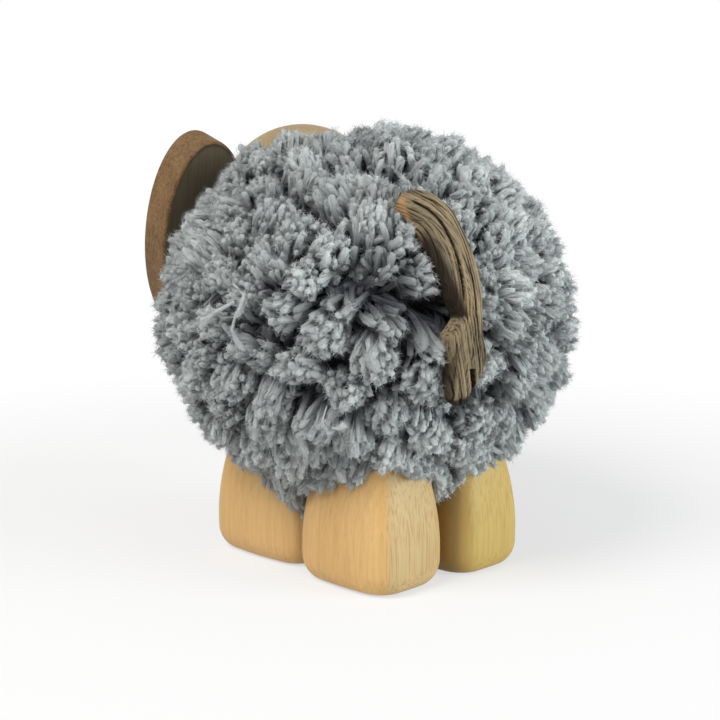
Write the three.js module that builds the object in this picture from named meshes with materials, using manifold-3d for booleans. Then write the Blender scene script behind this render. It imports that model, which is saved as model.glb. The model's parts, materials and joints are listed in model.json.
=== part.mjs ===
// A pom-pom elephant. A ball of cut yarn is tied round a wooden spine dowel. The spine carries a carved
// head with its trunk at the front and a split stick as the tail at the back. A centre post ties it to a
// round hub, and the hub takes the dowels of four chunky legs.
// Millimetres, +Z up, the elephant looks along -Y and its left side is +X.
import * as THREE from 'three';
import { mergeVertices } from 'three/addons/utils/BufferGeometryUtils.js';
import Module from 'manifold-3d';

// Yarn ball
const pompomWidth = 100;
const pompomHeight = 89.6;
const legBury = 21.3; // how far the ball's underside hangs below the tops of the legs
const yarnDent = 2.5; // room that a leg presses into the yarn

// Tufts that the yarn stands in, spread over the ball, with dips between them
const tuftCount = 260;
const tuftStray = 0.9; // how far each lies off the even spread, beside their spacing
const tuftDip = 3;

// Partings, where the yarn falls to both sides and the ball dips: height angle and angle round from
// straight behind in degrees, then width and depth in millimetres
const partings = [
  [62, 30, 11, 4],
  [14, 19, 11, 4],
  [2, 55, 10, 3.5],
  [-22, 32, 10, 3],
  [26, -34, 10, 3],
  [30, -105, 11, 3.5],
  [8, 112, 11, 3.5],
];

// Legs, longer than wide, bulging low down, rounded in at the foot and drawn in evenly above the bulge
const frontLegLength = 34;
const rearLegLength = 30.6;
const legWidth = 24;
const legHeight = 38;
const legCorner = 6.3;
const footInset = 4;
const footRise = 5.8;
const bulgeHeight = 12;
const legTopInset = 4.3;

// Stance: where the legs stand under the ball, turned a little against the head and tail
const legPitchLength = 33.1;
const legPitchWidth = 25.9;
const stanceBack = 0.8; // behind the middle of the ball
const stanceTurn = 17.4;
const legTurn = 5.1; // each leg against the others

// Hub, dowels and post inside the yarn
const hubThickness = 10;
const hubRim = 4;
const legDowelDiameter = 8;
const legDowelInLeg = 12;
const legDowelInHub = 7;
const postDiameter = 7;
const postInHub = 7;
const postInSpine = 7;

// Spine and the cords that tie the yarn to it
const spineDiameter = 14;
const spineRise = 9; // above the middle of the ball
const spineInHead = 13;
const tieDiameter = 2.2;
const tieOffset = 9;

// Head with its trunk
const headWidth = 47;
const headDepth = 48;
const headHeight = 49.8;
const headForward = 43.7;
const headRise = 21.8; // above the middle of the ball
const trunkReach = 24;
const trunkDrop = 60;
const trunkCurl = 15;
const trunkBaseDiameter = 33;
const trunkTipDiameter = 11.5;

// Ears, thick slabs let into slots in the sides of the head
const earWidth = 26.8;
const earHeight = 56.6;
const earThickness = 9.4;
const earEdge = 0.9;
const earInHead = 6.2;
const earBehind = 1.2; // its middle, behind and below the middle of the head
const earDrop = 4.5;
const rightEarDrop = 6; // lower than the left one, hidden behind the ball
const earSweep = 19;
const earTilt = 19;
const earRoll = 9;

// Eyes, pegs with domed ends
const eyeDiameter = 4.4;
const eyeDepth = 5;
const eyeDome = 1.3;
const eyeTurn = 36; // round from straight ahead
const eyeLift = 13; // up from level

// Tail, a split stick that lies along the ball's back
const tailWidth = 10.2;
const tailThickness = 8.4;
const tailSink = 0.1; // its middle line under the yarn's face
const tailSlotWidth = 0.9; // the slit that forks its lower end
const tailSlotLength = 7;
const tailPegDiameter = 3;
const tailPegInTail = 3.2;
const tailPegFree = 12; // through the yarn, between spine and tail
const tailPegInSpine = 7;
const tailPegRise = 2.6; // above the spine's axis, clear of the split

// The stick's outline from its top end down: the share of its length, then its left and its right edge as
// shares of half its width. The left edge has an open split that ends in a barb.
const tailOutline = [
  [0, 0.2, 0.63],
  [0.05, 0.37, 0.98],
  [0.1, 0.61, 1.12],
  [0.18, 0.82, 1.1],
  [0.28, 0.9, 0.98],
  [0.37, 0.84, 0.94],
  [0.45, 0.71, 0.9],
  [0.53, 0.57, 0.82],
  [0.6, 0.31, 0.67],
  [0.67, 0.98, 0.69],
  [0.75, 0.9, 0.92],
  [0.81, 0.84, 0.95],
  [0.88, 0.78, 0.75],
  [0.94, 0.71, 0.43],
  [1, 0.51, 0.2],
];

// Glue gap round every dowel, slot and seat
const fit = 0.3;

// Facets
const roundSides = 20;
const ballSides = 32;
const ballRings = 20;

const wasm = await Module();
wasm.setup();

const radians = THREE.MathUtils.degToRad;

// Heights and places that follow from the sizes above
const pompomLift = legHeight - legBury + pompomHeight / 2;
const spineLift = pompomLift + spineRise;
const headLift = pompomLift + headRise;
const hubLift = legHeight + fit;
const hubTop = hubLift + hubThickness;
const hubRadius = Math.hypot(legPitchLength, legPitchWidth) / 2 + legDowelDiameter / 2 + hubRim;

// Solids for cutting and joining

function solidOf(geometry) {
  const bare = geometry.clone();
  bare.deleteAttribute('normal');
  bare.deleteAttribute('uv');
  const merged = mergeVertices(bare, 1e-4);
  return new wasm.Manifold(new wasm.Mesh({
    numProp: 3,
    vertProperties: new Float32Array(merged.attributes.position.array),
    triVerts: new Uint32Array(merged.index.array),
  }));
}

function geometryOf(solid) {
  const cut = solid.getMesh();
  const geometry = new THREE.BufferGeometry();
  geometry.setAttribute('position', new THREE.BufferAttribute(new Float32Array(cut.vertProperties), 3));
  geometry.setIndex(new THREE.BufferAttribute(new Uint32Array(cut.triVerts), 1));
  geometry.computeVertexNormals();
  return geometry;
}

// A closed skin over rings that all have the same number of points, each end closed by a fan
function loft(rings) {
  const sides = rings[0].length;
  const points = rings.flat();
  const index = [];
  for (let ring = 0; ring < rings.length - 1; ring += 1) {
    for (let side = 0; side < sides; side += 1) {
      const next = (side + 1) % sides;
      const low = ring * sides;
      const high = low + sides;
      index.push(low + side, low + next, high + next, low + side, high + next, high + side);
    }
  }
  const last = (rings.length - 1) * sides;
  for (const end of [rings[0], rings[rings.length - 1]]) {
    const middle = new THREE.Vector3();
    end.forEach((point) => middle.addScaledVector(point, 1 / sides));
    points.push(middle);
  }
  for (let side = 0; side < sides; side += 1) {
    const next = (side + 1) % sides;
    index.push(points.length - 2, next, side, points.length - 1, last + side, last + next);
  }
  const geometry = new THREE.BufferGeometry().setFromPoints(points);
  geometry.setIndex(index);
  return geometry;
}

function ellipsoid(width, depth, height, grow) {
  const ball = new THREE.SphereGeometry(1, ballSides, ballRings).rotateX(Math.PI / 2);
  return ball.scale(width / 2 + grow, depth / 2 + grow, height / 2 + grow);
}

// A rod along Y, or upright
function rod(diameter, length, grow, upright = false) {
  const cylinder = new THREE.CylinderGeometry(diameter / 2 + grow, diameter / 2 + grow, length, roundSides);
  return upright ? cylinder.rotateX(Math.PI / 2) : cylinder;
}

// Legs

function roundedSection(length, width, corner, height) {
  const x = width / 2 - corner;
  const y = length / 2 - corner;
  const outline = new THREE.Shape()
    .absarc(x, y, corner, 0, Math.PI / 2)
    .absarc(-x, y, corner, Math.PI / 2, Math.PI)
    .absarc(-x, -y, corner, Math.PI, 1.5 * Math.PI)
    .absarc(x, -y, corner, 1.5 * Math.PI, 2 * Math.PI);
  const points = outline.getPoints(3);
  points.pop();
  return points.map((point) => new THREE.Vector3(point.x, point.y, height));
}

// How far a leg's faces lie inside its widest outline at a height
function legInset(height) {
  if (height < footRise) {
    return footInset * (1 - Math.sqrt(1 - (1 - height / footRise) ** 2));
  }
  return legTopInset * Math.max(height - bulgeHeight, 0) / (legHeight - bulgeHeight);
}

// A leg from foot to top. With grow it is the room that the leg takes up, wider all round and at the top.
function legGeometry(length, grow) {
  const footSteps = [0, 0.03, 0.1, 0.22, 0.42, 0.7, 1].map((share) => share * footRise);
  const rings = [...footSteps, bulgeHeight, legHeight].map((height) => {
    const inset = legInset(height) - grow;
    return roundedSection(length - 2 * inset, legWidth - 2 * inset, legCorner - 0.5 * inset, height);
  });
  rings[rings.length - 1].forEach((point) => { point.z += grow; });
  return loft(rings);
}

// Head and trunk

// The trunk's middle line, as places ahead of and above the middle of the head: from inside the face over
// the brow, down to the bend and out along the curl
function trunkPath() {
  const places = [
    [0.34 * trunkReach, -0.07 * trunkDrop],
    [0.8 * trunkReach, -0.17 * trunkDrop],
    [trunkReach, -0.42 * trunkDrop],
    [trunkReach, -0.72 * trunkDrop],
    [trunkReach + 0.36 * trunkCurl, -0.98 * trunkDrop],
    [trunkReach + trunkCurl, -trunkDrop],
  ];
  const points = places.map(([ahead, up]) => new THREE.Vector3(0, -ahead, up));
  return new THREE.CatmullRomCurve3(points, false, 'centripetal');
}

function trunkGeometry(grow) {
  const path = trunkPath();
  const steps = 16;
  const sideways = new THREE.Vector3(1, 0, 0);
  const rings = [];
  const addRing = (share, radius, beyond) => {
    const tangent = path.getTangentAt(share);
    const upward = new THREE.Vector3().crossVectors(sideways, tangent).normalize();
    const middle = path.getPointAt(share).addScaledVector(tangent, beyond);
    rings.push(Array.from({ length: roundSides }, (unused, side) => {
      const angle = 2 * Math.PI * side / roundSides;
      return middle.clone()
        .addScaledVector(sideways, radius * Math.cos(angle))
        .addScaledVector(upward, -radius * Math.sin(angle));
    }));
  };
  const tip = trunkTipDiameter / 2;
  const flare = (trunkBaseDiameter - trunkTipDiameter) / 2;
  for (let step = 0; step <= steps; step += 1) {
    const share = step / steps;
    addRing(share, tip + flare * (1 - share) ** 1.9 + grow, 0);
  }
  // the rounded end
  for (const turn of [30, 55, 75]) {
    addRing(1, (tip + grow) * Math.cos(radians(turn)), (tip + grow) * 0.6 * Math.sin(radians(turn)));
  }
  return loft(rings);
}

function headSolid(grow) {
  return solidOf(ellipsoid(headWidth, headDepth, headHeight, grow)).add(solidOf(trunkGeometry(grow)));
}

// Ears

function earGeometry(side, grow) {
  const across = earWidth / 2 + grow - earEdge;
  const up = earHeight / 2 + grow - earEdge;
  const roll = -side * radians(earRoll);
  const outline = new THREE.Shape().absellipse(0, 0, across, up, 0, 2 * Math.PI, false, roll);
  const depth = earThickness + 2 * grow - 2 * earEdge;
  const slab = new THREE.ExtrudeGeometry(outline, {
    depth,
    curveSegments: 18,
    bevelSize: earEdge,
    bevelThickness: earEdge,
    bevelSegments: 1,
  });
  return slab.translate(0, 0, -depth / 2);
}

// Eyes

function eyeGeometry(grow) {
  const radius = eyeDiameter / 2 + grow;
  const profile = [new THREE.Vector2(0, -eyeDepth - grow), new THREE.Vector2(radius, -eyeDepth - grow)];
  for (let turn = 0; turn < 90; turn += 22.5) {
    profile.push(new THREE.Vector2(radius * Math.cos(radians(turn)), eyeDome * Math.sin(radians(turn))));
  }
  profile.push(new THREE.Vector2(0, eyeDome));
  return new THREE.LatheGeometry(profile, 16);
}

// Tail

// A place on the ball's back, by its height angle and its angle round from straight behind
function onBack(heightAngle, sideAngle) {
  const across = (pompomWidth / 2 - tailSink) * Math.cos(radians(heightAngle));
  const up = (pompomHeight / 2 - tailSink) * Math.sin(radians(heightAngle));
  return new THREE.Vector3(across * Math.sin(radians(sideAngle)), across * Math.cos(radians(sideAngle)), up);
}

// The stick's middle line, from its top end to its bottom end
function tailPath() {
  return new THREE.CatmullRomCurve3([
    onBack(40, 13),
    onBack(35.5, 5),
    onBack(27.5, 1),
    onBack(17.5, -1),
    onBack(8, -2),
    onBack(-2, -2),
    onBack(-18, -2.5),
  ]);
}

// A place on the middle line with the three directions there: along it, across to the left, and outward
function tailStation(share) {
  const path = tailPath();
  const middle = path.getPointAt(share);
  const along = path.getTangentAt(share);
  const outward = new THREE.Vector3(middle.x, middle.y, 0);
  const across = new THREE.Vector3().crossVectors(along, outward).normalize();
  outward.crossVectors(across, along);
  return { middle, along, across, outward };
}

// How far the left and the right edge lie from the middle line
function tailEdges(share) {
  const row = Math.max(tailOutline.findIndex(([place]) => place >= share), 1);
  const [start, end] = [tailOutline[row - 1], tailOutline[row]];
  const part = (share - start[0]) / (end[0] - start[0]);
  return [1, 2].map((edge) => tailWidth / 2 * (start[edge] + part * (end[edge] - start[edge])));
}

function tailGeometry(grow) {
  const sides = 12;
  const shares = tailOutline.flatMap(([share], row) => (
    row === 0 ? [share] : [(tailOutline[row - 1][0] + share) / 2, share]));
  const rings = shares.map((share) => {
    const { middle, along, across, outward } = tailStation(share);
    if (share === 0 || share === 1) {
      middle.addScaledVector(along, share === 0 ? -grow : grow);
    }
    const [left, right] = tailEdges(share);
    // thick over most of its length, drawn in at the blunt ends, the lower one more
    const swell = 1 - 0.3 * (1 - share) ** 6 - 0.45 * share ** 7;
    return Array.from({ length: sides }, (unused, side) => {
      const angle = 2 * Math.PI * side / sides;
      // split faces: blunt ridges instead of a round
      const ridge = 1 + 0.08 * Math.cos(3 * angle) + 0.05 * Math.cos(5 * angle + 2 * share);
      const reach = (left - right) / 2 + ((left + right) / 2 + grow) * Math.sin(angle);
      return middle.clone()
        .addScaledVector(across, reach)
        .addScaledVector(outward, (tailThickness / 2 * swell * ridge + grow) * Math.cos(angle));
    });
  });
  return loft(rings);
}

// The slit between the two prongs of the lower end
function tailSlotGeometry() {
  const { middle, along, across, outward } = tailStation(0.9);
  const down = along.clone().addScaledVector(across, -0.2).normalize();
  const wide = new THREE.Vector3().crossVectors(outward, down);
  const place = middle.addScaledVector(across, -0.26 * tailWidth / 2);
  const slit = new THREE.BoxGeometry(tailSlotWidth, 3 * tailThickness, tailSlotLength);
  return slit.applyMatrix4(new THREE.Matrix4().makeBasis(wide, outward, down).setPosition(place));
}

// Yarn ball

// A place on the ball, by its height angle and its angle round from straight behind
function onBall(heightAngle, sideAngle) {
  const across = pompomWidth / 2 * Math.cos(radians(heightAngle));
  const up = pompomHeight / 2 * Math.sin(radians(heightAngle));
  return new THREE.Vector3(across * Math.sin(radians(sideAngle)), across * Math.cos(radians(sideAngle)), up);
}

// The middles of the tufts on a ball of radius 1, on a spiral from top to bottom
function tuftPlaces() {
  return Array.from({ length: tuftCount }, (unused, number) => {
    const step = number + 0.5;
    const up = 1 - 2 * step / tuftCount;
    const turn = Math.PI * (1 + Math.sqrt(5)) * step;
    const flat = Math.sqrt(1 - up * up);
    const stray = new THREE.Vector3(Math.sin(12.99 * step), Math.sin(78.23 * step), Math.sin(37.72 * step));
    return new THREE.Vector3(flat * Math.cos(turn), flat * Math.sin(turn), up)
      .addScaledVector(stray, tuftStray / Math.sqrt(tuftCount))
      .normalize();
  });
}

// A place on a ball of radius 1, moved to the yarn's face and down into its dips
function yarnFace(place, dip) {
  const point = place.clone().multiply(new THREE.Vector3(pompomWidth / 2, pompomWidth / 2, pompomHeight / 2));
  const dips = partings.map(([height, side, width, depth]) => (
    depth * Math.exp(-((point.distanceTo(onBall(height, side)) / width) ** 2))));
  return point.setLength(point.length() - Math.max(...dips) - dip);
}

// The ball: a corner on every tuft, and a sunk one between each three neighbours
function pompomGeometry() {
  const hull = wasm.Manifold.hull(tuftPlaces().map((place) => place.toArray())).getMesh();
  const places = Array.from({ length: hull.vertProperties.length / 3 }, (unused, corner) => (
    new THREE.Vector3().fromArray(hull.vertProperties, 3 * corner)));
  const points = places.map((place) => yarnFace(place, 0));
  const index = [];
  for (let face = 0; face < hull.triVerts.length; face += 3) {
    const [a, b, c] = hull.triVerts.slice(face, face + 3);
    const between = places[a].clone().add(places[b]).add(places[c]).normalize();
    points.push(yarnFace(between, tuftDip));
    const sunk = points.length - 1;
    index.push(a, b, sunk, b, c, sunk, c, a, sunk);
  }
  const ball = new THREE.BufferGeometry().setFromPoints(points);
  ball.setIndex(index);
  return ball;
}

// The scene graph

const lightWood = { color: 0xdcb57c, roughness: 0.55, metalness: 0 };
const darkWood = { color: 0x4e4335, roughness: 0.75, metalness: 0 };
const tailWood = { color: 0x6f5238, roughness: 0.8, metalness: 0 };
const beechWood = { color: 0xd9bd94, roughness: 0.6, metalness: 0 };
const greyYarn = { color: 0x9a9d9e, roughness: 0.95, metalness: 0 };
const eyeWood = { color: 0x17130f, roughness: 0.35, metalness: 0 };

const figure = new THREE.Group();

function addPiece(parent, name, finish, geometry, place = new THREE.Vector3()) {
  const mesh = new THREE.Mesh(geometry, new THREE.MeshStandardMaterial(finish));
  mesh.name = name;
  mesh.position.copy(place);
  parent.add(mesh);
  return mesh;
}

// A shape moved to where a mesh stands in the figure, as a solid
function standIn(mesh, geometry) {
  mesh.updateWorldMatrix(true, false);
  return solidOf(geometry.clone().applyMatrix4(mesh.matrixWorld));
}

// Spine, ties and post
const headSlope = Math.sqrt(1 - ((headRise - spineRise) / (headHeight / 2)) ** 2);
const spineFront = headForward - headDepth / 2 * headSlope + spineInHead;
const pegHeight = spineRise + tailPegRise;
const tailSeat = tailPath().getSpacedPoints(80).reduce((best, point) => (
  Math.abs(point.z - pegHeight) < Math.abs(best.z - pegHeight) ? point : best));
const tailFace = tailSeat.y - tailThickness / 2;
const spineBack = tailFace - tailPegFree;
const spineLength = spineFront + spineBack;
const spinePlace = new THREE.Vector3(0, (spineBack - spineFront) / 2, spineLift);
const spine = addPiece(figure, 'spine_dowel', beechWood, rod(spineDiameter, spineLength, 0), spinePlace);

const postBase = hubTop - postInHub;
const postTop = spineLift - spineDiameter / 2 + postInSpine;
const postPlace = new THREE.Vector3(0, 0, (postBase + postTop) / 2);
const postLength = postTop - postBase;
const post = addPiece(figure, 'centre_post', beechWood, rod(postDiameter, postLength, 0, true), postPlace);

function tieGeometry(grow) {
  const ring = spineDiameter / 2 + fit + tieDiameter / 2;
  return new THREE.TorusGeometry(ring, tieDiameter / 2 + grow, 6, roundSides).rotateX(Math.PI / 2);
}

const ties = [['front_tie_cord', -tieOffset], ['rear_tie_cord', tieOffset]].map(([name, along]) => (
  addPiece(figure, name, greyYarn, tieGeometry(0), new THREE.Vector3(0, along, spineLift))));

// Hub with its legs and dowels
const hubPlace = new THREE.Vector3(0, 0, hubLift + hubThickness / 2);
const hub = addPiece(figure, 'leg_hub', beechWood, rod(2 * hubRadius, hubThickness, 0, true), hubPlace);

const stance = new THREE.Group();
stance.position.y = stanceBack;
stance.rotation.z = radians(stanceTurn);
figure.add(stance);

const legDowelLength = legDowelInLeg + legDowelInHub;
const legDowelMiddle = hubLift + legDowelInHub - legDowelLength / 2;
const legBore = rod(legDowelDiameter, legDowelLength + 2 * fit, fit, true)
  .translate(0, 0, legDowelMiddle);
const legs = [];
for (const [name, sideways, along, length] of [
  ['front_left_leg', 1, -1, frontLegLength],
  ['front_right_leg', -1, -1, frontLegLength],
  ['rear_left_leg', 1, 1, rearLegLength],
  ['rear_right_leg', -1, 1, rearLegLength],
]) {
  const corner = new THREE.Group();
  corner.position.set(sideways * legPitchWidth / 2, along * legPitchLength / 2, 0);
  corner.rotation.z = radians(legTurn);
  stance.add(corner);
  const leg = solidOf(legGeometry(length, 0)).subtract(solidOf(legBore));
  legs.push([addPiece(corner, name, lightWood, geometryOf(leg)), length]);
  const dowel = rod(legDowelDiameter, legDowelLength, 0, true);
  addPiece(corner, `${name}_dowel`, beechWood, dowel, new THREE.Vector3(0, 0, legDowelMiddle));
}

// Head, ears and eyes
const headPlace = new THREE.Vector3(0, -headForward, headLift);
const crown = new THREE.Group();
crown.position.copy(headPlace);
figure.add(crown);

const ears = [['left_ear', 1], ['right_ear', -1]].map(([name, side]) => {
  const middle = headWidth / 2 - earInHead + earWidth / 2;
  const place = new THREE.Vector3(side * middle, earBehind, side > 0 ? -earDrop : -rightEarDrop);
  const ear = addPiece(crown, name, darkWood, earGeometry(side, 0), place);
  ear.rotation.set(Math.PI / 2 - radians(earTilt), 0, side * radians(earSweep), 'ZYX');
  return [ear, side];
});

const eyes = [['left_eye', 1], ['right_eye', -1]].map(([name, side]) => {
  const facing = new THREE.Vector3(
    side * Math.sin(radians(eyeTurn)) * Math.cos(radians(eyeLift)),
    -Math.cos(radians(eyeTurn)) * Math.cos(radians(eyeLift)),
    Math.sin(radians(eyeLift)),
  );
  const half = new THREE.Vector3(headWidth / 2, headDepth / 2, headHeight / 2);
  const seat = facing.clone().multiplyScalar(1 / facing.clone().divide(half).length());
  const eye = addPiece(crown, name, eyeWood, eyeGeometry(0), seat);
  const outward = seat.clone().divide(half).divide(half).normalize();
  eye.quaternion.setFromUnitVectors(new THREE.Vector3(0, 1, 0), outward);
  return eye;
});

// Tail with its peg
const tailPlace = new THREE.Vector3(0, 0, pompomLift);
const tailPegLength = tailPegInTail + tailPegFree + tailPegInSpine;
const tailPegMiddle = tailFace + tailPegInTail - tailPegLength / 2;
const tailPegPlace = new THREE.Vector3(tailSeat.x, tailPegMiddle, spineLift + tailPegRise);
const tailPeg = addPiece(figure, 'tail_peg', beechWood, rod(tailPegDiameter, tailPegLength, 0), tailPegPlace);

// Bores and sockets
const spineRoom = standIn(spine, rod(spineDiameter, spineLength + 2 * fit, fit));
const postRoom = standIn(post, rod(postDiameter, postLength + 2 * fit, fit, true));
const tailPegRoom = standIn(tailPeg, rod(tailPegDiameter, tailPegLength + 2 * fit, fit));

let headBody = headSolid(0).translate([headPlace.x, headPlace.y, headPlace.z]).subtract(spineRoom);
for (const [ear, side] of ears) {
  headBody = headBody.subtract(standIn(ear, earGeometry(side, fit)));
}
for (const eye of eyes) {
  headBody = headBody.subtract(standIn(eye, eyeGeometry(fit)));
}
headBody = headBody.translate([-headPlace.x, -headPlace.y, -headPlace.z]);
addPiece(crown, 'head', lightWood, geometryOf(headBody));

const tailBody = solidOf(tailGeometry(0).translate(0, 0, pompomLift))
  .subtract(solidOf(tailSlotGeometry().translate(0, 0, pompomLift)))
  .subtract(tailPegRoom);
addPiece(figure, 'tail', tailWood, geometryOf(tailBody.translate([0, 0, -pompomLift])), tailPlace);

const spineBody = standIn(spine, spine.geometry).subtract(postRoom).subtract(tailPegRoom);
spine.geometry = geometryOf(spineBody.translate([-spinePlace.x, -spinePlace.y, -spinePlace.z]));

let hubBody = standIn(hub, hub.geometry).subtract(postRoom);
for (const [leg] of legs) {
  hubBody = hubBody.subtract(standIn(leg, legBore));
}
hub.geometry = geometryOf(hubBody.translate([-hubPlace.x, -hubPlace.y, -hubPlace.z]));

// Yarn ball, hollowed where the wood runs through it
const yarnRooms = [
  spineRoom,
  postRoom,
  tailPegRoom,
  standIn(hub, rod(2 * hubRadius, hubThickness + 2 * fit, fit, true)),
  headSolid(fit).translate([headPlace.x, headPlace.y, headPlace.z]),
  solidOf(tailGeometry(fit).translate(0, 0, pompomLift)),
  ...ties.map((tie) => standIn(tie, tieGeometry(fit))),
  ...legs.map(([leg, length]) => standIn(leg, legGeometry(length, yarnDent))),
  ...ears.map(([ear, side]) => standIn(ear, earGeometry(side, fit))),
];
let yarn = solidOf(pompomGeometry()).translate([0, 0, pompomLift]);
for (const room of yarnRooms) {
  yarn = yarn.subtract(room);
}
addPiece(figure, 'yarn_pompom', greyYarn, geometryOf(yarn.translate([0, 0, -pompomLift])), tailPlace);

// The origin lies on the floor under the middle of the whole figure
const whole = new THREE.Box3().setFromObject(figure);
const middle = whole.getCenter(new THREE.Vector3());
figure.position.set(-middle.x, -middle.y, -whole.min.z);

export default figure;
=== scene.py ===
import json
import math
import bmesh
import bpy
import numpy as np
from mathutils import Matrix, Vector
from mathutils.bvhtree import BVHTree


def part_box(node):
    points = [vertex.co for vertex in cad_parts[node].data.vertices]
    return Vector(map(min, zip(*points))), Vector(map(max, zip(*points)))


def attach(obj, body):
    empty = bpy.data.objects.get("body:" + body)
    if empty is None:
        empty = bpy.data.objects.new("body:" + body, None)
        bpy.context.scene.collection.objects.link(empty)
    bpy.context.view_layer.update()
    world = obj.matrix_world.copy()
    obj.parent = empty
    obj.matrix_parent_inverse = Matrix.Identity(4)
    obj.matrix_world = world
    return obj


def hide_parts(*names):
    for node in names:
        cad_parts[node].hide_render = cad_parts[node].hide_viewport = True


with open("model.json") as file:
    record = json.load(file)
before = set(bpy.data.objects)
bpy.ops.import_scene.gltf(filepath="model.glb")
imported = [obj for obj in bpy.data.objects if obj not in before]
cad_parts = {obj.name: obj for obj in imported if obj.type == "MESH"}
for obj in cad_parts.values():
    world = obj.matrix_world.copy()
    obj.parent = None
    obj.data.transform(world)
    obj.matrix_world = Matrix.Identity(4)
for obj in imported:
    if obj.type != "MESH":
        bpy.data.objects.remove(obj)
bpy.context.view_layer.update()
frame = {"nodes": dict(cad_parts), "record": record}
mm = 0.001
print("frame loaded with", len(frame["nodes"]), "solids")


# Shader maths

class Flow:
    # one socket of a node tree, so that shader maths reads as sums
    def __init__(self, tree, socket=None):
        self.tree = tree
        self.socket = socket

    def node(self, kind, settings, values, out=0):
        made = self.tree.nodes.new(kind)
        for key, value in settings.items():
            setattr(made, key, value)
        for key, value in values.items():
            self.give(made.inputs[key], value)
        return Flow(self.tree, made.outputs[out])

    def give(self, socket, value):
        if isinstance(value, Flow):
            self.tree.links.new(value.socket, socket)
        elif socket.type == "RGBA" and len(value) == 3:
            socket.default_value = (*value, 1)
        else:
            socket.default_value = value

    def maths(self, operation, first, second=0.0, clamp=False):
        settings = {"operation": operation, "use_clamp": clamp}
        return self.node("ShaderNodeMath", settings, {0: first, 1: second})

    def __add__(self, other):
        return self.maths("ADD", self, other)

    def __radd__(self, other):
        return self.maths("ADD", other, self)

    def __sub__(self, other):
        return self.maths("SUBTRACT", self, other)

    def __rsub__(self, other):
        return self.maths("SUBTRACT", other, self)

    def __mul__(self, other):
        return self.maths("MULTIPLY", self, other)

    def __rmul__(self, other):
        return self.maths("MULTIPLY", other, self)

    def __truediv__(self, other):
        return self.maths("DIVIDE", self, other)

    # 0 below the first number, 1 above the second, smooth between
    def between(self, low, high):
        settings = {"interpolation_type": "SMOOTHSTEP"}
        return self.node("ShaderNodeMapRange", settings, {"Value": self, "From Min": low, "From Max": high})

    # a colour that goes from one to another as this value goes from 0 to 1
    def colour(self, low, high):
        return self.node("ShaderNodeMix", {"data_type": "RGBA"}, {0: self, 6: low, 7: high}, 2)

    def place(self, scale, shift=(0, 0, 0)):
        return self.node("ShaderNodeMapping", {}, {"Vector": self, "Scale": scale, "Location": shift})

    def length(self):
        return self.node("ShaderNodeVectorMath", {"operation": "LENGTH"}, {"Vector": self}, "Value")

    def noise(self, scale, detail=3.0, rough=0.5):
        values = {"Vector": self, "Scale": scale, "Detail": detail, "Roughness": rough}
        return self.node("ShaderNodeTexNoise", {}, values)

    # the surface's direction when this value is its height
    def bump(self, strength, distance):
        values = {"Strength": strength, "Distance": distance, "Height": self}
        return self.node("ShaderNodeBump", {}, values)


def startFinish(name):
    material = bpy.data.materials.new(name)
    material.use_nodes = True
    return material, Flow(material.node_tree)


def fillShader(material, values):
    flow = Flow(material.node_tree)
    shader = flow.tree.nodes["Principled BSDF"]
    for key, value in values.items():
        flow.give(shader.inputs[key], value)
    return material


def objectCoords(flow):
    return flow.node("ShaderNodeTexCoord", {}, {}, "Object")


def attribute(flow, name, out="Fac"):
    return flow.node("ShaderNodeAttribute", {"attribute_name": name}, {}, out)


# Finishes

honeyWood = {
    "pale": (0.675, 0.433, 0.18),
    "dark": (0.49, 0.285, 0.1),
    "fleck": (0.33, 0.185, 0.065),
    "end": (0.452, 0.327, 0.151),
    "corner": (0.57, 0.32, 0.105),
    "ringWidth": 2.4 * mm,
    "ringWander": 6 * mm,
    "heart": (0.062, -0.035),  # where the middle of the tree stood, beside the legs
    "roughness": 0.46,
}
# the rear right leg: yellow ends, and its side faces darkened as painted shade of the narrow gap beside the
# near leg
yellowWoodShadedSides = dict(honeyWood, pale=(0.27, 0.172, 0.056), dark=(0.21, 0.13, 0.037), fleck=(0.33, 0.21, 0.055),
                  end=(0.445, 0.312, 0.088), corner=(0.38, 0.24, 0.065))
headWood = dict(honeyWood, pale=(0.32, 0.238, 0.12), dark=(0.265, 0.172, 0.07), fleck=(0.20, 0.12, 0.045))


def makeLightWood(name, wood):
    material, flow = startFinish(name)
    coords = objectCoords(flow)
    wander = coords.place((1, 1, 0.12)).noise(45, 2) - 0.5
    reach = coords.place((1, 1, 0), (-wood["heart"][0], -wood["heart"][1], 0)).length()
    turns = (reach + wood["ringWander"] * wander) / wood["ringWidth"]
    rings = 0.5 + 0.5 * flow.maths("SINE", turns * (2 * math.pi))
    streak = coords.place((1, 1, 0.05)).noise(1100, 3, 0.6)
    fine = coords.place((1, 1, 0.035)).noise(3200, 2, 0.6)
    pores = coords.place((1, 1, 0.09)).noise(1900, 1).between(0.62, 0.74)
    broad = coords.place((1, 1, 0.3)).noise(60, 2)
    depth = 0.07 * rings + 1.1 * streak + 0.5 * fine + 1.1 * broad - 1.0
    tone = depth.colour(wood["pale"], wood["dark"])
    # the ends of a leg are paler, with open pores, and its rounded corner has a warm stripe
    endFace = attribute(flow, "endFace")
    corner = attribute(flow, "corner")
    tone = (endFace * (1.4 - 0.8 * streak)).colour(tone, wood["end"])
    tone = (corner * (0.2 + 0.8 * broad)).colour(tone, wood["corner"])
    lines = coords.place((1, 1, 0.02)).noise(2100, 2, 0.6).between(0.47, 0.66)
    tone = (0.25 * pores + 0.62 * lines * endFace).colour(tone, wood["fleck"])
    relief = 0.5 * streak + 0.5 * fine - 0.6 * pores
    return fillShader(material, {
        "Base Color": tone,
        "Roughness": wood["roughness"] + 0.12 * streak,
        "Normal": relief.bump(0.12, 0.2 * mm),
        "Specular IOR Level": 0.32,
    })


earWood = {
    "face": (0.118, 0.094, 0.058),
    "faceStreak": (0.19, 0.152, 0.10),
    "rim": (0.215, 0.125, 0.055),
    "rimDark": (0.078, 0.041, 0.017),
    "border": (0.022, 0.015, 0.008),
}


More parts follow.
